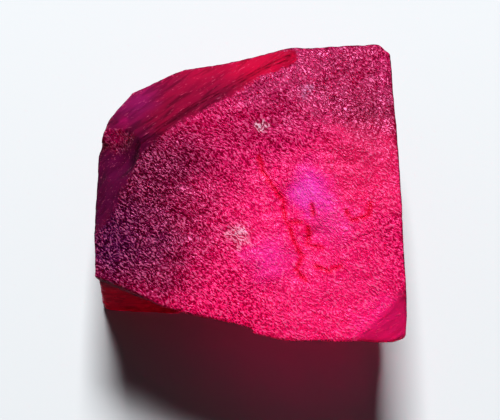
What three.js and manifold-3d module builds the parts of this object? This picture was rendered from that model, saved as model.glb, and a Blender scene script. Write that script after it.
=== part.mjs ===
// A rough piece of red beryl, broken on every side and resting on a flat parting face.
// It is one solid: what is left of a crystal between its fracture faces, with a toe at its foot,
// less the chips and steps struck off its edges.
// Millimetres, +Z up, origin under the middle of the stone on its resting face.
import * as THREE from "three";
import { ImprovedNoise } from "three/addons/math/ImprovedNoise.js";
import { mergeVertices } from "three/addons/utils/BufferGeometryUtils.js";
import Module from "manifold-3d";

const wasm = await Module();
wasm.setup();

// Driving dimensions: the height of the stone's heart above its base, the crystal it was broken from,
// and the spacing of the points that carry its relief
const HEART_HEIGHT = 8.5;
const CRYSTAL_SIZE = 46;
const RELIEF_SPACING = 1.15;

// Relief of a broken face: broad swells and smaller lumps, by wavelength and height
const SWELL = { length: 7.5, height: 0.5, layers: 3.7 };
const LUMP = { length: 2.8, height: 0.22, layers: 5.3 };

// Fracture faces of the body. "looks" is the bearing that a face looks to, anticlockwise from +X, "tilt" is 0
// for a face that looks up and 90 for a wall, and "reach" is how far it stands from the heart of the stone.
// "rough" scales its relief, and "stretch" draws the relief out along a face that split with the grain.
const BODY_FACES = [
  { name: "main face", looks: -145, tilt: 6.5, reach: 8.2, rough: 0.7, stretch: 1 },
  { name: "back shoulder", looks: 75, tilt: 8, reach: 10.4, rough: 0.7, stretch: 1 },
  { name: "left slope", looks: -170, tilt: 12, reach: 9.35, rough: 0.6, stretch: 1 },
  { name: "long bevel", looks: 125, tilt: 38, reach: 12.3, rough: 0.6, stretch: 3 },
  { name: "corner bevel", looks: -54, tilt: 33, reach: 16.2, rough: 0.5, stretch: 1.5 },
  { name: "right wall", looks: 2, tilt: 92, reach: 13.8, rough: 0.4, stretch: 2.5 },
  { name: "back right edge", looks: 50, tilt: 91, reach: 19.2, rough: 0.6, stretch: 1 },
  { name: "back wall", looks: 94, tilt: 88, reach: 14.25, rough: 0.9, stretch: 1.5 },
  { name: "back left edge", looks: 111, tilt: 87, reach: 15.4, rough: 0.8, stretch: 1 },
  { name: "back left wall", looks: 140, tilt: 85, reach: 16.6, rough: 0.9, stretch: 1 },
  { name: "left shoulder", looks: 166, tilt: 88, reach: 15.8, rough: 0.7, stretch: 1 },
  { name: "left wall", looks: 181, tilt: 92, reach: 15, rough: 0.5, stretch: 1.5 },
  { name: "front left wall", looks: -114, tilt: 98, reach: 12.4, rough: 0.6, stretch: 2 },
  { name: "front undercut", looks: -94, tilt: 108, reach: 10.9, rough: 0.9, stretch: 1 },
  { name: "right rim", looks: -70, tilt: 96, reach: 17.3, rough: 0.7, stretch: 1 },
  { name: "right foot", looks: 12, tilt: 122, reach: 14.4, rough: 0.8, stretch: 1 },
  { name: "back foot", looks: 102, tilt: 128, reach: 14.2, rough: 0.8, stretch: 1 },
  { name: "left foot", looks: 160, tilt: 118, reach: 15.2, rough: 0.8, stretch: 1 },
];

// Faces of the toe, a lower ledge that stands out under the front left lip
const TOE_FACES = [
  { name: "toe left side", looks: 180, tilt: 88, reach: 15, rough: 0.3, stretch: 2 },
  { name: "toe front", looks: -93, tilt: 84, reach: 8.3, rough: 0.35, stretch: 2 },
  { name: "toe corner", looks: -140, tilt: 86, reach: 16.25, rough: 0.3, stretch: 1 },
  { name: "toe top", looks: -118, tilt: 36, reach: 9, rough: 0.4, stretch: 1.5 },
  { name: "toe end", looks: -28, tilt: 78, reach: -4, rough: 0.6, stretch: 1 },
  { name: "toe back", looks: 90, tilt: 90, reach: -5, rough: 0, stretch: 1 },
];

// Hollows and swellings of the main face, by place in plan, width and depth, with a swelling below zero
const DENTS = [
  { name: "crease, upper end", at: [0.8, 2.8], width: 1.3, depth: 0.2 },
  { name: "crease, middle", at: [3.4, -1.4], width: 1.4, depth: 0.3 },
  { name: "crease, lower end", at: [4.8, -7.2], width: 1.5, depth: 0.25 },
  { name: "pit", at: [5.7, -4.7], width: 0.9, depth: 0.5 },
  { name: "left swelling", at: [1.2, -6.6], width: 2.2, depth: -0.28 },
  { name: "right swelling", at: [8.2, -2.6], width: 2.4, depth: -0.3 },
  { name: "upper swelling", at: [6.4, 0.9], width: 1.8, depth: -0.22 },
];

// Shell-shaped chips: where each was struck, the way it faces, and how round and deep its scoop is
const CHIPS = [
  { name: "notch", at: [-12.7, 4.7, 14.2], looks: -178, tilt: 40, radius: 4, depth: 0.75 },
  { name: "back corner chip", at: [12.6, 14.2, 8.5], looks: 52, tilt: 96, radius: 9, depth: 0.7 },
  { name: "back foot chip", at: [4.5, 13, 2.6], looks: 96, tilt: 112, radius: 9, depth: 0.8 },
  { name: "right foot chip", at: [13.3, -7.5, 2.4], looks: -14, tilt: 108, radius: 9, depth: 0.8 },
  { name: "left wall scoop", at: [-15, 0.5, 6.2], looks: 176, tilt: 98, radius: 10, depth: 0.7 },
  { name: "undercut scoop", at: [10.5, -12.6, 9], looks: -66, tilt: 106, radius: 11, depth: 0.8 },
];
const CHIP_RIPPLE = { spacing: 0.62, height: 0.05 };
const CHIP_DETAIL = 8;

// Steps: where a slab broke away along a lower plane. "along" and "across" say how far the break runs on
// that plane and "turn" how it lies there, so that its ends are the risers of the step.
const STEPS = [
  { name: "short bevel", looks: 163, tilt: 44, reach: 13.4, turn: 0, along: [-1.2, 14], across: [-14, 3] },
  { name: "front rim", looks: -104, tilt: 104, reach: 10.7, turn: 8, along: [-20, 4.6], across: [-3, 18] },
  { name: "back step", looks: 96, tilt: 92, reach: 12.9, turn: -24, along: [-2, 18], across: [-16, 0.5] },
  { name: "right ledge", looks: 3, tilt: 95, reach: 12.7, turn: 17, along: [2, 20], across: [-14, 1.5] },
];
const STEP_DEPTH = 9;
const STEP_SPACING = 1.6;
const STEP_UNEVEN = 0.45;

const noise = new ImprovedNoise();
const heart = new THREE.Vector3(0, 0, HEART_HEIGHT);
const radians = THREE.MathUtils.degToRad;

function solidFrom(geometry) {
  const bare = geometry.clone();
  bare.deleteAttribute("normal");
  bare.deleteAttribute("uv");
  const welded = mergeVertices(bare);
  const vertProperties = welded.attributes.position.array;
  const triVerts = new Uint32Array(welded.index.array);
  return new wasm.Manifold(new wasm.Mesh({ numProp: 3, vertProperties, triVerts }));
}

function geometryFrom(solid) {
  const { vertProperties, triVerts } = solid.getMesh();
  const geometry = new THREE.BufferGeometry();
  geometry.setAttribute("position", new THREE.BufferAttribute(vertProperties, 3));
  geometry.setIndex(new THREE.BufferAttribute(triVerts, 1));
  return geometry;
}

// The direction that a face with this bearing and tilt looks to
function outwardOf({ looks, tilt }) {
  const bearing = radians(looks);
  const level = Math.sin(radians(tilt));
  return new THREE.Vector3(level * Math.cos(bearing), level * Math.sin(bearing), Math.cos(radians(tilt)));
}

// Stands a block with its outer side on the fracture plane: X along the face, Y across it and Z outward
function placeOf(face) {
  const outward = outwardOf(face);
  const bearing = radians(face.looks);
  const along = new THREE.Vector3(-Math.sin(bearing), Math.cos(bearing), 0);
  const across = new THREE.Vector3().crossVectors(outward, along);
  const place = new THREE.Matrix4().makeBasis(along, across, outward);
  return place.setPosition(outward.multiplyScalar(face.reach).add(heart));
}

// The small unevenness at a point of a break, from -1 to 1; the offset picks another pattern
function unevenAt(point, offset = 0) {
  return noise.noise(point.x / LUMP.length, point.y / LUMP.length, point.z / LUMP.length + offset);
}

// The height of a face's relief at a place on it; each face reads its own layer of the noise
function reliefAt(face, layer, along, across) {
  const wave = ({ length, layers }) => {
    return noise.noise(along / length / face.stretch, across / length, layer * layers);
  };
  return face.rough * (SWELL.height * wave(SWELL) + LUMP.height * wave(LUMP));
}

function dentAt(x, y) {
  const depths = DENTS.map(({ at, width, depth }) => {
    return depth * Math.exp(-((x - at[0]) ** 2 + (y - at[1]) ** 2) / width ** 2);
  });
  return depths.reduce((sum, depth) => sum + depth, 0);
}

// A block of the crystal behind one fracture face, with the relief of the break on its outer side
function blockBehind(face, layer) {
  const cells = face.rough ? Math.round(CRYSTAL_SIZE / RELIEF_SPACING) : 1;
  const block = new THREE.BoxGeometry(CRYSTAL_SIZE, CRYSTAL_SIZE, CRYSTAL_SIZE, cells, cells, 1);
  block.translate(0, 0, -CRYSTAL_SIZE / 2);
  const place = placeOf(face);
  const dented = face.name === "main face";
  const points = block.attributes.position;
  const point = new THREE.Vector3();
  for (let i = 0; i < points.count; i += 1) {
    point.fromBufferAttribute(points, i);
    if (point.z < -CRYSTAL_SIZE / 2) continue;
    const height = reliefAt(face, layer, point.x, point.y);
    point.applyMatrix4(place);
    points.setZ(i, dented ? height - dentAt(point.x, point.y) : height);
  }
  return solidFrom(block.applyMatrix4(place));
}

// Everything above the flat parting face that the stone rests on
function blockAboveBase() {
  const block = new THREE.BoxGeometry(CRYSTAL_SIZE, CRYSTAL_SIZE, CRYSTAL_SIZE);
  return solidFrom(block.translate(0, 0, CRYSTAL_SIZE / 2));
}

// What is left of the crystal behind all of these faces
function between(faces, firstLayer) {
  return faces.reduce((left, face, i) => left.intersect(blockBehind(face, firstLayer + i)), blockAboveBase());
}

// A ball that scoops out a chip, rippled around the point where the blow fell
function chipTool({ at, radius, depth, ...facing }) {
  const ball = new THREE.IcosahedronGeometry(radius, CHIP_DETAIL);
  const points = ball.attributes.position;
  const point = new THREE.Vector3();
  for (let i = 0; i < points.count; i += 1) {
    point.fromBufferAttribute(points, i);
    const ripple = CHIP_RIPPLE.height * Math.sin((radius - point.z) / CHIP_RIPPLE.spacing);
    point.setLength(radius + ripple + LUMP.height * unevenAt(point));
    points.setXYZ(i, point.x, point.y, point.z);
  }
  const middle = outwardOf(facing).multiplyScalar(radius - depth);
  return solidFrom(ball.translate(middle.x + at[0], middle.y + at[1], middle.z + at[2]));
}

// The slab that broke away above a step, with sides as uneven as the break
function stepTool({ turn, along, across, ...plane }) {
  const size = [along[1] - along[0], across[1] - across[0], STEP_DEPTH];
  const slab = new THREE.BoxGeometry(...size, ...size.map((side) => Math.ceil(side / STEP_SPACING)));
  slab.translate((along[0] + along[1]) / 2, (across[0] + across[1]) / 2, STEP_DEPTH / 2);
  const points = slab.attributes.position;
  const point = new THREE.Vector3();
  const drift = (offset) => STEP_UNEVEN * unevenAt(point, offset);
  for (let i = 0; i < points.count; i += 1) {
    point.fromBufferAttribute(points, i);
    points.setXYZ(i, point.x + drift(along[0]), point.y + drift(across[0]), point.z + drift(plane.reach));
  }
  return solidFrom(slab.rotateZ(radians(turn)).applyMatrix4(placeOf(plane)));
}

function brokenStone() {
  const cut = (left, tool) => left.subtract(tool);
  const body = STEPS.map(stepTool).reduce(cut, between(BODY_FACES, 0));
  const whole = body.add(between(TOE_FACES, BODY_FACES.length));
  const geometry = geometryFrom(CHIPS.map(chipTool).reduce(cut, whole));
  geometry.computeBoundingBox();
  const middle = geometry.boundingBox.getCenter(new THREE.Vector3());
  return geometry.translate(-middle.x, -middle.y, 0);
}

const redBeryl = new THREE.MeshStandardMaterial({ color: 0xb0103c, roughness: 0.45, metalness: 0 });
const stone = new THREE.Mesh(brokenStone(), redBeryl);
stone.name = "red_beryl";

const part = new THREE.Group();
part.add(stone);
export default part;
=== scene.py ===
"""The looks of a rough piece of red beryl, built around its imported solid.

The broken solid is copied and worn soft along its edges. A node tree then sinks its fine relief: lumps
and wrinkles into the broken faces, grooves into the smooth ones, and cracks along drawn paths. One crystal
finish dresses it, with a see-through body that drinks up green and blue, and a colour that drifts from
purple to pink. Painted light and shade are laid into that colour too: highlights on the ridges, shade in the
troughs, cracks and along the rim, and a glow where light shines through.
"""

import logging
import math
from dataclasses import dataclass
from enum import Enum
from typing import Any

import bmesh
import bpy
import numpy as np
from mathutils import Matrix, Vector
from mathutils.bvhtree import BVHTree

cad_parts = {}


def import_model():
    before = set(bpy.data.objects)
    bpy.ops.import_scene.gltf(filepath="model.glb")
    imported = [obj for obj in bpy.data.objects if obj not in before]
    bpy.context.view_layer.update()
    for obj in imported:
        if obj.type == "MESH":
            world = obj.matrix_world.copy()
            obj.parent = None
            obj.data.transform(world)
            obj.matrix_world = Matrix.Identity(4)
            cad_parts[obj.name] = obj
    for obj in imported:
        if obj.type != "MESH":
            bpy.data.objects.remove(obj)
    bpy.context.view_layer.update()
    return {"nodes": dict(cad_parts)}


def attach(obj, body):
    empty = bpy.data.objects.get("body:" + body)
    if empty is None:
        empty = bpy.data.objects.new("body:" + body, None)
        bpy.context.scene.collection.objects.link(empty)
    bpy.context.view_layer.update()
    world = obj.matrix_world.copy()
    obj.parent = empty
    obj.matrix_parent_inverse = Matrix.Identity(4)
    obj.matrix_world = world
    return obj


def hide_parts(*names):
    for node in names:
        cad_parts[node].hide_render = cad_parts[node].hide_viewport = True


MM = 0.001
MID_NOISE = 0.5
log = logging.getLogger("red_beryl")

Colour = tuple[float, float, float]
Point = tuple[float, float, float]
Path = tuple[tuple[float, float], ...]
Span = tuple[float, float]
Socket = bpy.types.NodeSocket


def linear(code: str) -> Colour:
    """Turns a screen colour into scene light.

    Args:
        code: Six hexadecimal digits, red first.

    Returns:
        The linear red, green and blue.
    """
    shares = [int(code[i : i + 2], 16) / 255 for i in (0, 2, 4)]
    return tuple(c / 12.92 if c <= 0.04045 else ((c + 0.055) / 1.055) ** 2.4 for c in shares)


def facing(looks: float, tilt: float) -> Vector:
    """Gives the way that a fracture face looks.

    Args:
        looks: Its bearing in degrees, anticlockwise from +X.
        tilt: 0 for a face that looks up, and 90 for a wall.

    Returns:
        The face's outward normal.
    """
    bearing, lean = math.radians(looks), math.radians(tilt)
    return Vector((math.sin(lean) * math.cos(bearing), math.sin(lean) * math.sin(bearing), math.cos(lean)))


class Pen:
    """Draws the nodes of one tree."""

    def __init__(self, tree: bpy.types.NodeTree) -> None:
        """Takes the tree to draw in."""
        self.tree = tree

    def add(self, kind: str, **settings: Any) -> bpy.types.Node:
        """Adds a node.

        Args:
            kind: The node's type name.
            settings: Properties of the node, and values or sources of its inputs, whose names start with
                a capital.

        Returns:
            The new node.
        """
        node = self.tree.nodes.new(kind)
        for name, value in settings.items():
            if name[0].islower():
                setattr(node, name, value)
            else:
                self.feed(node.inputs[name.replace("_", " ")], value)
        return node

    def feed(self, socket: Socket, value: Any) -> None:
        """Gives an input its value, or links it to an output.

        Args:
            socket: The input.
            value: A number, a vector, an object, or the output to link.
        """
        if isinstance(value, bpy.types.NodeSocket):
            self.tree.links.new(value, socket)
        else:
            socket.default_value = value

    def maths(self, operation: str, first: Any, second: Any = 0.0, clamp: bool = False) -> Socket:
        """Adds a sum of two numbers.

        Args:
            operation: The Math node's operation.
            first: The first number or output.
            second: The second number or output.
            clamp: Whether the result is kept from 0 to 1.

        Returns:
            The result's socket.
        """
        node = self.add("ShaderNodeMath", operation=operation, use_clamp=clamp)
        self.feed(node.inputs[0], first)
        self.feed(node.inputs[1], second)
        return node.outputs[0]

    def plus(self, first: Any, second: Any) -> Socket:
        """Adds up two numbers or outputs."""
        return self.maths("ADD", first, second)

    def less(self, first: Any, second: Any) -> Socket:
        """Takes the second number or output from the first."""
        return self.maths("SUBTRACT", first, second)

    def times(self, first: Any, second: Any) -> Socket:
        """Multiplies two numbers or outputs."""
        return self.maths("MULTIPLY", first, second)

    def rest(self, share: Any) -> Socket:
        """Gives what a share leaves of 1, and never less than 0."""
        return self.maths("SUBTRACT", 1.0, share, clamp=True)

    def vector(self, operation: str, first: Any, second: Any = (0.0, 0.0, 0.0)) -> bpy.types.Node:
        """Adds a sum of two vectors.

        Args:
            operation: The Vector Math node's operation.
            first: The first vector or output.
            second: The second vector or output, or the number that scales the first.

        Returns:
            The node, because some operations give a number and others a vector.
        """
        node = self.add("ShaderNodeVectorMath", operation=operation)
        self.feed(node.inputs[0], first)
        self.feed(node.inputs["Scale" if operation == "SCALE" else 1], second)
        return node

    def ramp(self, value: Any, low: float, high: float, start: float = 0.0, end: float = 1.0) -> Socket:
        """Adds a smooth ramp.

        Args:
            value: The number or output that it follows.
            low: Where the ramp starts.
            high: Where it ends.
            start: Its result at the start and before it.
            end: Its result at the end and past it.

        Returns:
            The result's socket.
        """
        node = self.add("ShaderNodeMapRange", interpolation_type="SMOOTHSTEP", Value=value)
        node.inputs["From Min"].default_value, node.inputs["From Max"].default_value = low, high
        node.inputs["To Min"].default_value, node.inputs["To Max"].default_value = start, end
        return node.outputs["Result"]

    def noise(self, at: Socket, size: float, detail: float = 0.0, twist: float = 0.0) -> bpy.types.Node:
        """Adds a noise.

        Args:
            at: The output with the place that it reads.
            size: The distance between its swells, in metres.
            detail: How many finer layers it has.
            twist: How far its shapes are bent.

        Returns:
            The noise node.
        """
        return self.add("ShaderNodeTexNoise", Vector=at, Scale=1 / size, Detail=detail, Distortion=twist)

    def stray(self, at: Socket, size: float, detail: float, reach: float) -> Socket:
        """Moves a place about, so that what is read there loses its straight or round outline.

        Args:
            at: The output with the place.
            size: The distance between the swells that move it, in metres.
            detail: How many finer layers they have.
            reach: The range of the moves, in metres.

        Returns:
            The socket with the moved place.
        """
        swell = self.noise(at, size, detail).outputs["Color"]
        sway = self.vector("SUBTRACT", swell, (MID_NOISE,) * 3).outputs[0]
        return self.vector("ADD", at, self.vector("SCALE", sway, reach).outputs[0]).outputs[0]

    def lie(self, at: Socket, bearing: float, stretch: float) -> Socket:
        """Turns a place so that a pattern lies along a bearing and is drawn out that way.

        Args:
            at: The output with the place.
            bearing: The pattern's direction in plan, in degrees from +X.
            stretch: How many times longer than wide the pattern becomes.

        Returns:
            The socket with the place to read the pattern at.
        """
        turn = math.radians(bearing)
        along = self.vector("DOT_PRODUCT", at, (math.cos(turn), math.sin(turn), 0.0)).outputs["Value"]
        across = self.vector("DOT_PRODUCT", at, (-math.sin(turn), math.cos(turn), 0.0)).outputs["Value"]
        up = self.vector("DOT_PRODUCT", at, (0.0, 0.0, 1.0)).outputs["Value"]
        drawn_out = self.maths("DIVIDE", along, stretch)
        return self.add("ShaderNodeCombineXYZ", X=drawn_out, Y=across, Z=up).outputs[0]

    def blend(self, share: Any, below: Any, above: Any, way: str = "MIX") -> Socket:
        """Lays one colour over another.

        Args:
            share: How much of the upper colour shows.
            below: The lower colour or output.
            above: The upper colour or output.
            way: The blending mode.

        Returns:
            The mixed colour's socket.
        """
        node = self.add("ShaderNodeMix", data_type="RGBA", blend_type=way)
        colours = [socket for socket in node.inputs if socket.type == "RGBA"]
        self.feed(node.inputs["Factor"], share)
        for socket, value in zip(colours, (below, above)):
            self.feed(socket, value if isinstance(value, bpy.types.NodeSocket) else (*value, 1.0))
        return next(socket for socket in node.outputs if socket.type == "RGBA")


class Break(Enum):
    """The ways in which the crystal parted."""

    STREAKED = "streaked"
    FLAT = "flat"
    # Not a break: the steep walls that get painted shade as a dark outline.
    RIM = "rim"


@dataclass(frozen=True)
class Zone:
    """A part of the surface, told by the way it looks, that has a break of its own.

    Angles are in degrees.
    """

    kind: Break
    looks: float
    tilt: float
    full: float = 12.0
    none: float = 26.0

    def share(self, normals: np.ndarray) -> np.ndarray:
        """Says how far each point belongs to the zone.

        Args:
            normals: One unit normal for each point.

        Returns:
            A share from 0 to 1 for each point.
        """
        turn = np.degrees(np.arccos(np.clip(normals @ np.array(facing(self.looks, self.tilt)), -1, 1)))
        inside = np.clip((self.none - turn) / (self.none - self.full), 0, 1)
        return inside * inside * (3 - 2 * inside)


@dataclass(frozen=True)
class Patch:
    """A cloud of colour, or of painted light or shade, in the crystal, in millimetres."""

    name: str
    at: Point
    full: float
    fade: float
    colour: Colour
    strength: float = 1.0

    def share(self, pen: Pen, at: Socket) -> Socket:
        """Says how much of the cloud shows at a place.

        Args:
            pen: The material's pen.
            at: The output with the place.

        Returns:
            The share's socket.
        """
        away = pen.vector("DISTANCE", at, tuple(MM * side for side in self.at))
        away.label = self.name
        return pen.ramp(away.outputs["Value"], self.full * MM, self.fade * MM, self.strength, 0.0)


@dataclass(frozen=True)
class Grain:
    """A rule for an uneven pattern in the crystal, which may be drawn out along a bearing and may sway."""

    size: float
    stretch: float = 1.0
    bearing: float = 0.0
    detail: float = 0.0
    twist: float = 0.0
    span: Span = (0.0, 1.0)
    sway_size: float = 1.0
    sway_detail: float = 1.0
    sway_reach: float = 0.0

    def noise(self, pen: Pen, at: Socket) -> Socket:
        """Draws the bare pattern.

        Args:
            pen: The pen of the tree that needs it.
            at: The output with the place on the stone.

        Returns:
            A socket that swells about 0.5.
        """
        if self.sway_reach > 0:
            at = pen.stray(at, self.sway_size, self.sway_detail, self.sway_reach)
        if self.stretch > 1:
            at = pen.lie(at, self.bearing, self.stretch)
        return pen.noise(at, self.size, self.detail, self.twist).outputs[0]

    def height(self, pen: Pen, at: Socket) -> Socket:
        """Draws the pattern from its lows, which are 0, to its highs, which are 1."""
        return pen.ramp(self.noise(pen, at), *self.span)


@dataclass(frozen=True)
class Reading:
    """What the finish finds at a place on the stone, with one socket for each."""

    at: Socket
    streaked: Socket
    wrinkled: Socket
    height: Socket
    lump: Socket
    streak: Socket
    scratch: Socket
    rim: Socket
    crease: Socket
    cleft: Socket
    seam: Socket


@dataclass(frozen=True)
class Crystal:
    """The finish of the stone: a see-through crimson body under a waxy, finely wrinkled skin.

    The wrinkles and lumps cover the broken faces, the streaks and scratches the smooth ones. Nibbles make the
    border between the two ragged, and gaps break up the seam beside the ledge.
    """

    wrinkles: Grain = Grain(
        0.165 * MM, 1.8, -43.0, 0.6, 0.5, (0.3, 0.72), sway_size=2.2 * MM, sway_reach=0.9 * MM
    )
    lumps: Grain = Grain(1.5 * MM, detail=2, twist=0.6, span=(0.25, 0.75))
    streaks: Grain = Grain(0.9 * MM, 5.0, 38.0, 3, 0.8, (0.25, 0.75))
    scratches: Grain = Grain(0.24 * MM, 3.5, 28.0, 1, 1.4, (0.62, 0.78))
    nibbles: Grain = Grain(0.45 * MM, detail=2)
    nibble_depth: float = 1.2
    border_span: Span = (0.3, 0.7)
    gaps: Grain = Grain(0.8 * MM, detail=2, span=(0.3, 0.6))
    wax: Grain = Grain(1.4 * MM, detail=2, span=(0.3, 0.7))

    body: Colour = linear("fc3088")
    cloud_sway: float = 3.5 * MM
    cloud_detail: float = 3.0
    cloud_reach: float = 5.0 * MM
    bevel: Colour = linear("52042a")
    bevel_bright: Colour = linear("8e083c")
    bevel_share: float = 0.85
    # Painted shade: multiplied into the wrinkles' troughs, the streaks' lows and the seam beside the ledge.
    furrow: Colour = (0.46, 0.05, 0.34)
    trough_span: Span = (0.5, 0.12)
    shade_span: Span = (0.6, 0.1)
    shade_strength: float = 0.5
    # Painted highlight: a pale pink laid on the wrinkles' ridges and, with the scratches, on the smooth
    # flanks.
    ridge_highlight: Colour = linear("f684b0")
    ridge_span: Span = (0.62, 1.0)
    ridge_strength: float = 0.34
    low_ridge_share: float = 0.55
    scratch_share: float = 1.3
    # Painted glint: a paler pink on the wrinkles' highest crests.
    crest_glint: Colour = linear("fcb8da")
    crest_span: Span = (0.78, 1.0)
    crest_strength: float = 0.22
    fray_sway: float = 0.7 * MM
    fray_detail: float = 2.0
    fray_reach: float = 2.4 * MM
    frost_span: Span = (0.25, 0.7)
    frost_low_share: float = 0.12
    crease: Colour = linear("f40c50")
    crease_width: float = 0.5 * MM
    crease_strength: float = 0.7
    # The cracks' darker core: partly their own deeper red, partly painted shade in the groove.
    crack: Colour = linear("c40638")
    crack_width: float = 0.16 * MM
    crack_strength: float = 0.6
    ledge_gap: float = 0.22 * MM
    seam_span: Span = (0.03 * MM, 0.13 * MM)
    seam_strength: float = 0.9
    # Painted shade: multiplied into the rim, the steep walls at the back and sides, to draw a dark outline.
    rim_shade: Colour = (0.3, 0.12, 0.4)
    rim_shade_strength: float = 0.85

    relief: float = 0.042 * MM
    lump_relief: float = 0.35
    scratch_relief: float = 0.5
    roughness: Span = (0.22, 0.34)
    bevel_rough: float = 0.5
    shine: float = 0.028
    shine_tint: Colour = (0.36, 0.11, 0.22)
    see_through: float = 0.68
    refraction: float = 1.577
    drink: Colour = (0.998, 0.1, 0.7)
    drink_density: float = 120.0

    # Darker purple clouds on the top face: partly the stone's colour zoning, partly painted shade where less
    # light comes through or the face turns from the lamp.
    dusk: tuple[Patch, ...] = (
        Patch("left dusk", (-12.0, 1.0, 14.0), 3.0, 14.8, linear("741048")),
        Patch("lower left dusk", (-10.5, -7.0, 15.0), 1.5, 7.5, linear("741048"), 0.9),
        Patch("purple heart", (-12.4, -4.7, 14.5), 0.5, 6.0, linear("541458"), 0.9),
        Patch("upper dusk", (2.5, 11.0, 17.0), 2.0, 9.5, linear("981c58"), 0.75),
        Patch("upper right dusk", (11.0, 10.5, 17.0), 2.5, 9.5, linear("a41e5a"), 0.85),
        Patch("right dusk", (13.0, 5.5, 17.0), 1.5, 6.5, linear("8a0c40"), 0.8),
    )
    # Clouds on the smooth flanks: partly the stone's colour, partly painted light: the toe is brightened in
    # the overhang's shade, and the front and side walls are painted glowing red.
    flush: tuple[Patch, ...] = (
        Patch("bright end", (2.0, 12.8, 16.0), 2.0, 7.0, linear("d80e4c"), 0.85),
        Patch("bright middle", (-4.5, 12.5, 13.5), 0.5, 4.5, linear("b0083c"), 0.7),
        Patch("purple end", (-11.5, 9.5, 11.0), 1.0, 5.5, linear("822070"), 0.8),
        Patch("dark end", (-13.3, 1.5, 13.0), 3.0, 8.5, linear("5e0e4e"), 0.9),
        Patch("toe", (-13.0, -9.0, 3.0), 3.0, 7.0, linear("ff0444")),
        Patch("warm front", (2.0, -14.5, 12.0), 4.0, 10.0, linear("e00840"), 0.8),
        Patch("warm side", (15.0, -1.0, 7.0), 6.0, 14.0, linear("cc0c44"), 0.8),
    )
    # Painted light: the glow of light shining through the stone, its hot spot, the lit pillows, and the
    # corner bevel and notch wedge brightened as if lit.
    glow: tuple[Patch, ...] = (
        Patch("inner glow", (4.5, -3.0, 17.0), 1.0, 8.0, linear("ff2e88"), 0.6),
        Patch("lower right glow", (8.0, -10.0, 16.5), 3.0, 9.0, linear("ff388c"), 0.6),
        Patch("hot spot", (6.3, -0.4, 17.4), 0.8, 3.3, linear("ff54d4")),
        Patch("hot core", (5.7, -0.8, 17.4), 0.3, 1.8, linear("ff78d8"), 0.35),
        Patch("left pillow", (2.0, -6.6, 16.8), 0.5, 3.4, linear("ff46b0"), 0.8),
        Patch("right pillow", (8.2, -3.1, 17.3), 0.5, 3.4, linear("ff4cae"), 0.8),
        Patch("corner", (13.2, -13.2, 15.0), 1.5, 4.5, linear("ff3496")),
        Patch("right glow", (11.0, 1.0, 17.2), 2.0, 7.0, linear("ff3c82"), 0.6),
        Patch("notch wedge", (-12.2, 7.0, 12.8), 0.6, 1.7, linear("c01878"), 0.7),
    )
    # Frosted spots: partly real frosting, partly painted glints on the wrinkles' high parts.
    frost_and_glints: tuple[Patch, ...] = (
        Patch("upper frost", (1.3, 5.8, 17.4), 0.3, 0.9, linear("fdeaf6"), 0.85),
        Patch("middle frost", (-0.9, -4.6, 16.7), 0.4, 1.7, linear("f8dcec"), 0.75),
        Patch("back frost", (5.5, 9.5, 17.6), 0.4, 1.2, linear("dcb0d8"), 0.7),
    )

    def read(self, pen: Pen) -> Reading:
        """Draws what the colour, the relief and the gloss all go by.

        Args:
            pen: The material's pen.

        Returns:
            The sockets.
        """
        at = pen.add("ShaderNodeTexCoord").outputs["Object"]
        noted, rim, to_crack, to_ledge = (
            pen.add("ShaderNodeAttribute", attribute_name=name).outputs["Fac"]
            for name in ("streaked", "rim", "to_crack", "to_ledge")
        )
        nibble = pen.times(pen.less(self.nibbles.noise(pen, at), MID_NOISE), self.nibble_depth)
        streaked = pen.ramp(pen.plus(noted, nibble), *self.border_span)
        beside = pen.maths("ABSOLUTE", pen.less(to_ledge, self.ledge_gap))
        line = pen.ramp(beside, *self.seam_span, self.seam_strength, 0.0)
        return Reading(
            at=at,
            streaked=streaked,
            wrinkled=pen.rest(streaked),
            height=self.wrinkles.height(pen, at),
            lump=self.lumps.height(pen, at),
            streak=self.streaks.height(pen, at),
            scratch=self.scratches.height(pen, at),
            rim=rim,
            crease=pen.ramp(to_crack, 0.0, self.crease_width, self.crease_strength, 0.0),
            cleft=pen.ramp(to_crack, 0.0, self.crack_width, self.crack_strength, 0.0),
            seam=pen.times(line, self.gaps.height(pen, at)),
        )

    def tint(self, pen: Pen, colour: Any, patches: tuple[Patch, ...], at: Socket) -> Socket:
        """Lays clouds over a colour, one after the other.

        Args:
            pen: The material's pen.
            colour: The colour or output below.
            patches: The clouds.
            at: The output with the place that they read.

        Returns:
            The mixed colour's socket.
        """
        for patch in patches:
            colour = pen.blend(patch.share(pen, at), colour, patch.colour)
        return colour

    def stain(self, pen: Pen, found: Reading) -> Socket:
        """Draws the crystal's colour, with painted shade in its furrows and clouds of colour, painted shade
        and painted glow.

        Args:
            pen: The material's pen.
            found: What the finish goes by.

        Returns:
            The colour's socket.
        """
        adrift = pen.stray(found.at, self.cloud_sway, self.cloud_detail, self.cloud_reach)
        bevel = pen.blend(found.streak, self.bevel, self.bevel_bright)
        flank = self.tint(pen, bevel, self.flush, adrift)
        face = self.tint(pen, self.body, self.dusk, adrift)
        colour = pen.blend(pen.times(found.streaked, self.bevel_share), face, flank)
        # Painted shade in the wrinkles' troughs and the streaks' lows.
        trough_shade = pen.times(pen.ramp(found.height, *self.trough_span), found.wrinkled)
        shade = pen.times(pen.ramp(found.streak, *self.shade_span), found.streaked)
        dark = pen.plus(trough_shade, pen.times(shade, self.shade_strength))
        colour = pen.blend(dark, colour, self.furrow, "MULTIPLY")
        return self.tint(pen, colour, self.glow, adrift)

    def lighten(self, pen: Pen, found: Reading, colour: Socket) -> Socket:
        """Lays painted highlights over the colour: on the wrinkles' ridges, on the scratches and on the
        highest crests, then the frosted spots, which hold painted glints as well as frosting.

        Args:
            pen: The material's pen.
            found: What the finish goes by.
            colour: The colour below.

        Returns:
            The colour's socket.
        """
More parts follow.
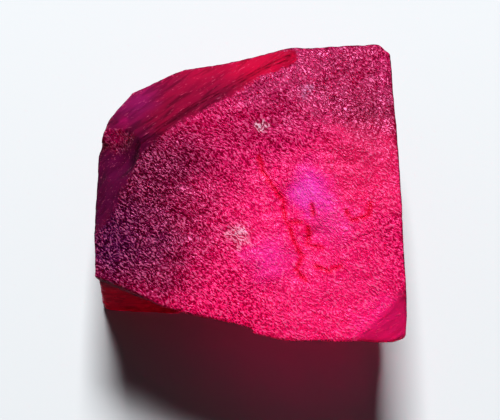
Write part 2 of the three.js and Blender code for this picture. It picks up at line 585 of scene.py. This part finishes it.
        # Painted highlight on the ridges and scratches.
        ridge_highlight = pen.times(pen.ramp(found.height, *self.ridge_span), found.wrinkled)
        ridge_highlight = pen.times(ridge_highlight, pen.ramp(found.lump, 0.0, 1.0, self.low_ridge_share, 1.0))
        scratch = pen.times(pen.times(found.scratch, self.scratch_share), found.streaked)
        colour = pen.blend(pen.times(pen.plus(ridge_highlight, scratch), self.ridge_strength), colour, self.ridge_highlight)
        # Painted glint on the highest crests.
        crest_glint = pen.times(pen.ramp(found.height, *self.crest_span, 0.0, self.crest_strength), found.wrinkled)
        colour = pen.blend(crest_glint, colour, self.crest_glint)
        frayed = pen.stray(found.at, self.fray_sway, self.fray_detail, self.fray_reach)
        # Frosted spots on the wrinkles' high parts: real frosting and painted glints.
        raised = pen.ramp(found.height, *self.frost_span, self.frost_low_share, 1.0)
        for patch in self.frost_and_glints:
            colour = pen.blend(pen.times(patch.share(pen, frayed), raised), colour, patch.colour)
        return colour

    def darken(self, pen: Pen, found: Reading, colour: Socket) -> Socket:
        """Draws the cracks, whose darker core is partly painted shade, the painted shade of the seam beside
        the ledge, and the painted shade of the dark rim.

        Args:
            pen: The material's pen.
            found: What the finish goes by.
            colour: The colour below.

        Returns:
            The colour's socket.
        """
        colour = pen.blend(found.crease, colour, self.crease)
        # Crack core: partly its own deeper red, partly painted shade.
        colour = pen.blend(found.cleft, colour, self.crack)
        # Painted shade in the seam beside the ledge.
        colour = pen.blend(found.seam, colour, self.furrow, "MULTIPLY")
        # Painted shade along the rim.
        return pen.blend(pen.times(found.rim, self.rim_shade_strength), colour, self.rim_shade, "MULTIPLY")

    def normal(self, pen: Pen, found: Reading) -> Socket:
        """Draws the relief that is too fine for the mesh.

        Args:
            pen: The material's pen.
            found: What the finish goes by.

        Returns:
            The bent normal's socket.
        """
        broken = pen.plus(found.height, pen.times(found.lump, self.lump_relief))
        scored = pen.plus(found.streak, pen.times(found.scratch, self.scratch_relief))
        standing = pen.plus(pen.times(broken, found.wrinkled), pen.times(scored, found.streaked))
        height = pen.less(standing, pen.plus(found.cleft, found.seam))
        return pen.add("ShaderNodeBump", Strength=1.0, Distance=self.relief, Height=height).outputs["Normal"]

    def gloss(self, pen: Pen, found: Reading) -> Socket:
        """Draws how rough the skin is: uneven like wax, and duller on the bevels.

        Args:
            pen: The material's pen.
            found: What the finish goes by.

        Returns:
            The roughness's socket.
        """
        waxy = pen.ramp(self.wax.noise(pen, found.at), *self.wax.span, *self.roughness)
        return pen.plus(waxy, pen.times(found.streaked, self.bevel_rough))

    def material(self) -> bpy.types.Material:
        """Makes the stone's material.

        Returns:
            The material.
        """
        made = bpy.data.materials.new("crimson_crystal")
        made.use_nodes = True
        pen = Pen(made.node_tree)
        pen.tree.nodes.clear()
        found = self.read(pen)
        colour = self.darken(pen, found, self.lighten(pen, found, self.stain(pen, found)))
        skin = pen.add(
            "ShaderNodeBsdfPrincipled",
            Base_Color=colour,
            Roughness=self.gloss(pen, found),
            IOR=self.refraction,
            Normal=self.normal(pen, found),
            Transmission_Weight=self.see_through,
            Specular_IOR_Level=self.shine,
            Specular_Tint=(*self.shine_tint, 1.0),
        )
        depth = pen.add("ShaderNodeVolumeAbsorption", Color=(*self.drink, 1.0), Density=self.drink_density)
        out = pen.add("ShaderNodeOutputMaterial")
        pen.feed(out.inputs["Surface"], skin.outputs[0])
        pen.feed(out.inputs["Volume"], depth.outputs[0])
        return made


@dataclass
class Stone:
    """The broken stone. Sizes are in metres, and the turning points of paths in millimetres."""

    node: str = "red_beryl"
    name: str = "crimson_stone"
    slot: str = "beryl"
    join_gap: float = 0.001 * MM
    mesh_size: float = 0.14 * MM
    wear_rounds: int = 28
    wear_pull: float = 0.5
    keep: float = 0.4
    lump_height: float = 0.11 * MM
    wrinkle_height: float = 0.02 * MM
    grooves: Grain = Grain(0.5 * MM, 7.0, 35.0, 2, 0.2)
    streak_height: float = 0.05 * MM
    border_rounds: int = 60
    crack_width: float = 0.22 * MM
    crack_depth: float = 0.06 * MM
    ragged: Grain = Grain(0.5 * MM, detail=2)
    ragged_reach: float = 0.5 * MM
    ledge_width: float = 0.55 * MM
    ledge_end: float = 2.0
    zones: tuple[Zone, ...] = (
        Zone(Break.STREAKED, 125, 38),
        Zone(Break.STREAKED, 163, 44),
        Zone(Break.STREAKED, -54, 33),
        Zone(Break.STREAKED, 2, 92),
        Zone(Break.STREAKED, -93, 84),
        Zone(Break.STREAKED, -113, 76, 18, 32),
        Zone(Break.FLAT, 0, 180),
        # The rim zones: where painted shade darkens the outline.
        Zone(Break.RIM, 90, 66, 22, 34),
        Zone(Break.RIM, 128, 75, 18, 28),
        Zone(Break.RIM, 165, 75, 18, 28),
        Zone(Break.RIM, 2, 64, 14, 24),
    )
    crack_paths: tuple[Path, ...] = (
        (
            (1.1, 3.0), (1.5, 1.5), (2.5, -0.1), (3.4, -1.3),
            (3.5, -2.9), (3.9, -3.7), (4.5, -5.5), (5.2, -6.7),
        ),
        ((5.6, -3.8), (5.9, -4.5), (5.6, -5.5), (7.0, -5.9)),
        ((6.1, -1.8), (6.2, -2.7)),
        ((3.9, -3.4), (5.1, -3.4)),
        ((5.2, -6.7), (4.6, -8.0), (5.4, -9.0)),
        ((9.3, -2.6), (9.8, -3.5), (11.4, -3.0), (11.6, -1.9)),
        ((6.4, -7.7), (7.6, -8.2), (8.8, -7.7)),
    )
    ledge_paths: tuple[Path, ...] = (
        ((-10.8, 4.3), (-8.4, 6.2), (-5.5, 8.2), (-1.7, 10.1), (1.4, 11.8), (4.0, 12.9)),
    )
    path_steps: int = 8
    drop_from: float = 1.0

    def copy_solid(self, source: bpy.types.Object) -> bpy.types.Object:
        """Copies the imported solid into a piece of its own.

        Args:
            source: The solid's object.

        Returns:
            The copy, with its loose triangles joined.
        """
        mesh = source.data.copy()
        mesh.materials.clear()
        work = bmesh.new()
        work.from_mesh(mesh)
        bmesh.ops.remove_doubles(work, verts=work.verts, dist=self.join_gap)
        work.to_mesh(mesh)
        work.free()
        piece = bpy.data.objects.new(self.name, mesh)
        bpy.context.scene.collection.objects.link(piece)
        return piece

    def settle(self, piece: bpy.types.Object) -> None:
        """Turns what a piece's modifiers make into its plain mesh.

        Args:
            piece: The piece, which loses its modifiers.
        """
        drawn = piece.evaluated_get(bpy.context.evaluated_depsgraph_get())
        mesh = bpy.data.meshes.new_from_object(drawn)
        piece.modifiers.clear()
        piece.data = mesh

    def wear(self, piece: bpy.types.Object) -> None:
        """Gives the piece an even fine mesh and rounds its edges as handling would.

        Args:
            piece: The copy of the solid.
        """
        even = piece.modifiers.new("even", "REMESH")
        even.mode, even.voxel_size = "VOXEL", self.mesh_size
        worn = piece.modifiers.new("worn", "SMOOTH")
        worn.factor, worn.iterations = self.wear_pull, self.wear_rounds
        self.settle(piece)

    def mark_zones(self, piece: bpy.types.Object) -> None:
        """Writes on each point how far it belongs to each kind of break.

        Args:
            piece: The worn piece.
        """
        count = len(piece.data.vertices)
        normals = np.zeros(count * 3, np.float32)
        piece.data.vertex_normals.foreach_get("vector", normals)
        for kind in Break:
            shares = [zone.share(normals.reshape(-1, 3)) for zone in self.zones if zone.kind is kind]
            layer = piece.data.attributes.new(kind.value, "FLOAT", "POINT")
            layer.data.foreach_set("value", np.max(shares, axis=0).astype(np.float32))

    def lay_paths(self, source: bpy.types.Object, name: str, paths: tuple[Path, ...]) -> bpy.types.Object:
        """Draws paths on the stone's upper side.

        Args:
            source: The solid that they lie on.
            name: What the paths are called.
            paths: Their turning points in plan, in millimetres.

        Returns:
            An object of bare edges.
        """
        corners = [vertex.co for vertex in source.data.vertices]
        solid = BVHTree.FromPolygons(corners, [face.vertices for face in source.data.polygons])
        down = Vector((0.0, 0.0, -1.0))
        points: list[Vector] = []
        edges: list[tuple[int, int]] = []
        for path in paths:
            first = len(points)
            for start, end in zip(path, path[1:]):
                for step in range(self.path_steps):
                    x, y = Vector(start).lerp(Vector(end), step / (self.path_steps - 1))
                    points.append(solid.ray_cast(Vector((x * MM, y * MM, self.drop_from)), down)[0])
            edges += [(i, i + 1) for i in range(first, len(points) - 1)]
        mesh = bpy.data.meshes.new(name)
        mesh.from_pydata(points, edges, [])
        drawn = bpy.data.objects.new(name, mesh)
        bpy.context.scene.collection.objects.link(drawn)
        return drawn

    def distance(self, pen: Pen, paths: Socket) -> Socket:
        """Measures from each point of the stone to the nearest of some paths.

        Args:
            pen: The pen of the relief's tree.
            paths: The output with the paths' object.

        Returns:
            The distance's socket.
        """
        drawn = pen.add("GeometryNodeObjectInfo", Object=paths).outputs["Geometry"]
        near = pen.add("GeometryNodeProximity", target_element="EDGES")
        pen.feed(near.inputs[0], drawn)
        return near.outputs["Distance"]

    def name_inputs(self, tree: bpy.types.NodeTree) -> dict[str, str]:
        """Gives the relief's tree its inputs and its output.

        Args:
            tree: The empty tree.

        Returns:
            The identifier of each input, by its name.
        """
        kinds = {
            "Geometry": "NodeSocketGeometry",
            "Lump Height": "NodeSocketFloat",
            "Wrinkle Height": "NodeSocketFloat",
            "Streak Height": "NodeSocketFloat",
            "Crack Width": "NodeSocketFloat",
            "Crack Depth": "NodeSocketFloat",
            "Ledge Width": "NodeSocketFloat",
            "Crack Paths": "NodeSocketObject",
            "Ledge Paths": "NodeSocketObject",
            "Material": "NodeSocketMaterial",
        }
        tree.interface.new_socket(name="Geometry", in_out="OUTPUT", socket_type="NodeSocketGeometry")
        return {
            name: tree.interface.new_socket(name=name, in_out="INPUT", socket_type=kind).identifier
            for name, kind in kinds.items()
        }

    def relief_tree(self, finish: Crystal) -> tuple[bpy.types.NodeTree, dict[str, str]]:
        """Draws the tree that sinks the stone's fine relief and notes what the finish goes by.

        Args:
            finish: The finish, whose wrinkles and lumps the relief shares.

        Returns:
            The tree, and the identifier of each of its named inputs.
        """
        tree = bpy.data.node_groups.new("fracture_relief", "GeometryNodeTree")
        tree.is_modifier = True
        named = self.name_inputs(tree)
        pen = Pen(tree)
        given = pen.add("NodeGroupInput").outputs
        at = pen.add("GeometryNodeInputPosition").outputs[0]
        outward = pen.add("GeometryNodeInputNormal").outputs[0]
        sharp, flat = (
            pen.add("GeometryNodeInputNamedAttribute", data_type="FLOAT", Name=kind.value).outputs[0]
            for kind in (Break.STREAKED, Break.FLAT)
        )
        blur = pen.add("GeometryNodeBlurAttribute", data_type="FLOAT", Value=sharp)
        pen.feed(blur.inputs["Iterations"], self.border_rounds)
        to_ledge = self.distance(pen, given["Ledge Paths"])
        widths_away = pen.maths("DIVIDE", to_ledge, given["Ledge Width"])
        ledge = pen.maths("SUBTRACT", self.ledge_end, widths_away, clamp=True)
        streaked = pen.maths("MAXIMUM", blur.outputs[0], ledge)

        swale = pen.times(pen.rest(finish.lumps.height(pen, at)), given["Lump Height"])
        furrow = pen.times(pen.rest(finish.wrinkles.height(pen, at)), given["Wrinkle Height"])
        broken = pen.times(pen.plus(swale, furrow), pen.rest(streaked))
        groove = pen.times(pen.times(self.grooves.noise(pen, at), streaked), given["Streak Height"])
        uneven = pen.times(pen.less(self.ragged.noise(pen, at), MID_NOISE), self.ragged_reach)
        to_crack = pen.plus(self.distance(pen, given["Crack Paths"]), uneven)
        crack = pen.rest(pen.maths("DIVIDE", to_crack, given["Crack Width"]))
        cleft = pen.times(crack, given["Crack Depth"])
        depth = pen.times(pen.plus(pen.plus(broken, groove), cleft), pen.rest(flat))
        inward = pen.vector("SCALE", outward, pen.times(depth, -1.0)).outputs[0]

        shape = given["Geometry"]
        for name, value in {"streaked": streaked, "to_crack": to_crack, "to_ledge": to_ledge}.items():
            note = pen.add("GeometryNodeStoreNamedAttribute", data_type="FLOAT", Name=name, Value=value)
            pen.feed(note.inputs["Geometry"], shape)
            shape = note.outputs[0]
        sunk = pen.add("GeometryNodeSetPosition", Geometry=shape, Offset=inward)
        smooth = pen.add("GeometryNodeSetShadeSmooth", Geometry=sunk.outputs[0])
        plain = pen.add("GeometryNodeRealizeInstances", Geometry=smooth.outputs[0])
        dressed = pen.add("GeometryNodeSetMaterial", Geometry=plain.outputs[0], Material=given["Material"])
        pen.feed(pen.add("NodeGroupOutput").inputs[0], dressed.outputs[0])
        return tree, named

    def break_surface(self, piece: bpy.types.Object, source: bpy.types.Object, finish: Crystal) -> None:
        """Sinks the fine relief into the piece and dresses it.

        Args:
            piece: The worn piece.
            source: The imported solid.
            finish: The stone's finish.
        """
        tree, named = self.relief_tree(finish)
        cracks = self.lay_paths(source, "crack_paths", self.crack_paths)
        ledges = self.lay_paths(source, "ledge_paths", self.ledge_paths)
        given = {
            "Lump Height": self.lump_height,
            "Wrinkle Height": self.wrinkle_height,
            "Streak Height": self.streak_height,
            "Crack Width": self.crack_width,
            "Crack Depth": self.crack_depth,
            "Ledge Width": self.ledge_width,
            "Crack Paths": cracks,
            "Ledge Paths": ledges,
            "Material": finish.material(),
        }
        relief = piece.modifiers.new("relief", "NODES")
        relief.node_group = tree
        for name, value in given.items():
            relief[named[name]] = value
        thin = piece.modifiers.new("thin", "DECIMATE")
        thin.ratio = self.keep
        self.settle(piece)
        for drawn in (cracks, ledges):
            bpy.data.objects.remove(drawn)

    def build(self, source: bpy.types.Object, finish: Crystal) -> bpy.types.Object:
        """Makes the stone.

        Args:
            source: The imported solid.
            finish: The stone's finish.

        Returns:
            The finished piece.
        """
        piece = self.copy_solid(source)
        self.wear(piece)
        self.mark_zones(piece)
        self.break_surface(piece, source, finish)
        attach(piece, "root")
        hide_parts(self.node)
        return piece


@dataclass
class Studio:
    """The pale floor, the soft light and the camera. Sizes are in metres and angles in degrees."""

    floor_side: float = 1.2
    floor_colour: Colour = (0.345, 0.356, 0.366)
    floor_rough: float = 0.9
    floor_shine: float = 0.1
    air_colour: Colour = (0.94, 0.97, 1.0)
    air_strength: float = 0.09
    backdrop: float = 0.85
    key_bearing: float = 91.0
    key_height: float = 55.0
    key_distance: float = 1.2
    key_side: float = 0.36
    key_power: float = 30.5
    camera_bearing: float = -90.0
    camera_height: float = 76.0
    camera_distance: float = 170 * MM
    camera_target: Point = (0.25 * MM, -0.3 * MM, 9 * MM)
    camera_lens: float = 123.3
    camera_sensor: float = 36.0
    camera_near: float = 10 * MM

    def lay_floor(self) -> None:
        """Lays the floor under the stone."""
        half = self.floor_side / 2
        corners = [(-half, -half, 0), (half, -half, 0), (half, half, 0), (-half, half, 0)]
        mesh = bpy.data.meshes.new("floor")
        mesh.from_pydata(corners, [], [(0, 1, 2, 3)])
        pale = bpy.data.materials.new("pale_floor")
        pale.use_nodes = True
        skin = pale.node_tree.nodes["Principled BSDF"]
        skin.inputs["Base Color"].default_value = (*self.floor_colour, 1.0)
        skin.inputs["Roughness"].default_value = self.floor_rough
        skin.inputs["Specular IOR Level"].default_value = self.floor_shine
        mesh.materials.append(pale)
        floor = bpy.data.objects.new("floor", mesh)
        bpy.context.scene.collection.objects.link(floor)

    def light(self) -> None:
        """Sets up the room's light and the lamp behind the stone."""
        world = bpy.data.worlds.new("room")
        world.use_nodes = True
        pen = Pen(world.node_tree)
        air = world.node_tree.nodes["Background"]
        air.inputs["Color"].default_value = (*self.air_colour, 1.0)
        seen = pen.add("ShaderNodeLightPath").outputs["Is Camera Ray"]
        pen.feed(air.inputs["Strength"], pen.ramp(seen, 0.0, 1.0, self.air_strength, self.backdrop))
        bpy.context.scene.world = world
        lamp = bpy.data.lights.new("key", "AREA")
        lamp.size, lamp.energy = self.key_side, self.key_power
        key = bpy.data.objects.new("key", lamp)
        key.location = facing(self.key_bearing, 90 - self.key_height) * self.key_distance
        key.rotation_euler = key.location.to_track_quat("Z", "Y").to_euler()
        bpy.context.scene.collection.objects.link(key)

    def aim(self) -> None:
        """Places the camera."""
        lens = bpy.data.cameras.new("camera")
        lens.lens, lens.sensor_width, lens.clip_start = self.camera_lens, self.camera_sensor, self.camera_near
        camera = bpy.data.objects.new("camera", lens)
        toward = facing(self.camera_bearing, 90 - self.camera_height)
        camera.location = Vector(self.camera_target) + toward * self.camera_distance
        camera.rotation_euler = (
            math.radians(90 - self.camera_height), 0, math.radians(90 + self.camera_bearing)
        )
        bpy.context.scene.collection.objects.link(camera)
        bpy.context.scene.camera = camera

    def build(self) -> None:
        """Makes all of it, and sets how deep the picture's colours are shown."""
        self.lay_floor()
        self.light()
        self.aim()
        bpy.context.scene.view_settings.view_transform = "Standard"
        bpy.context.scene.view_settings.look = "High Contrast"


def main() -> None:
    """Builds the stone in its studio and logs how many faces it has."""
    logging.basicConfig(level=logging.INFO, format="%(message)s")
    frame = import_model()
    Studio().build()
    piece = Stone().build(frame["nodes"]["red_beryl"], Crystal())
    log.info("%s: %d faces", piece.name, len(piece.data.polygons))


if __name__ == "__main__":
    main()
